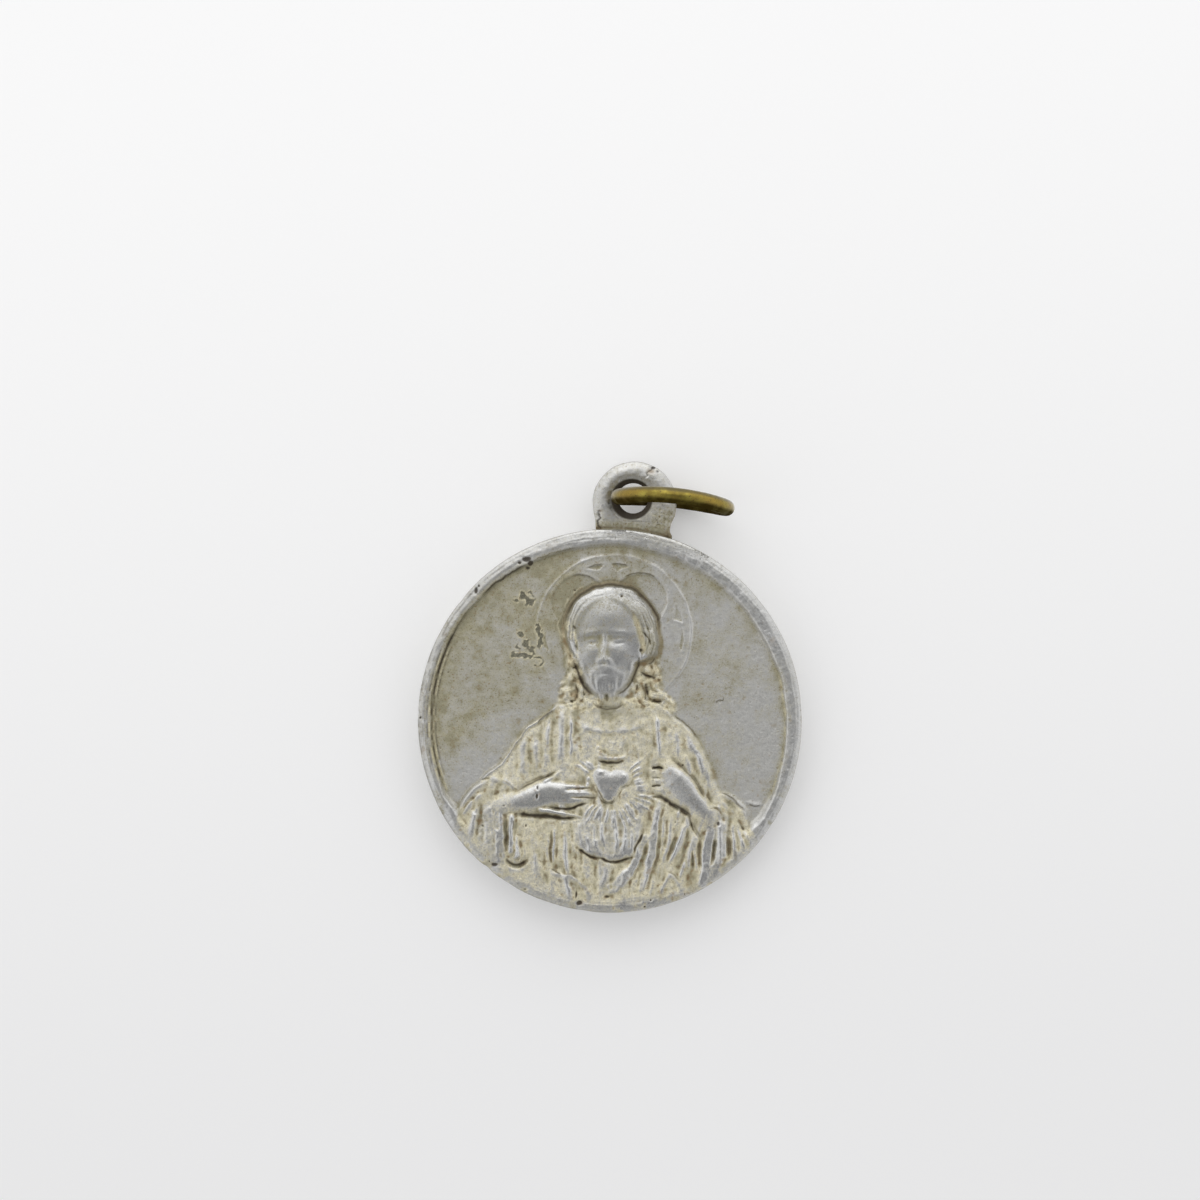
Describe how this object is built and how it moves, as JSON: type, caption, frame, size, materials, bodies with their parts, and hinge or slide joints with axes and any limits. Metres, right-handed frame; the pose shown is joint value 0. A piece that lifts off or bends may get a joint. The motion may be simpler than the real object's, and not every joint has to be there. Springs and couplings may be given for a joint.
{
  "type": "religious medal",
  "caption": "Round devotional medal with a half figure in low relief, a flat bail on its rim and a brass jump ring that swivels in the bail's eye.",
  "frame": {"origin": "centre of the whole medal's bounding box in X and Y, at the level of the surface that its back lies on", "axes": "+X to the right of the figure as it is looked at, +Y from the disc to the bail, +Z out of the face"},
  "size_m": [0.025, 0.0294, 0.008],
  "materials": {
    "medal": "worn grey metal with dirt in the recesses",
    "bail": "worn grey metal with dirt in the crevice",
    "ring": "dull tarnished brass wire"
  },
  "bodies": {
    "medal": {"medal_disc": "medal", "bail": "bail"},
    "ring": {"jump_ring": "ring"}
  },
  "joints": [
    {"name": "ring_swivel", "type": "hinge", "parent": "medal", "child": "ring", "pos_m": [0.00151, 0.01229, 0.0016], "axis": [0, 0, 1], "range_deg": [-24, 204]}
  ]
}
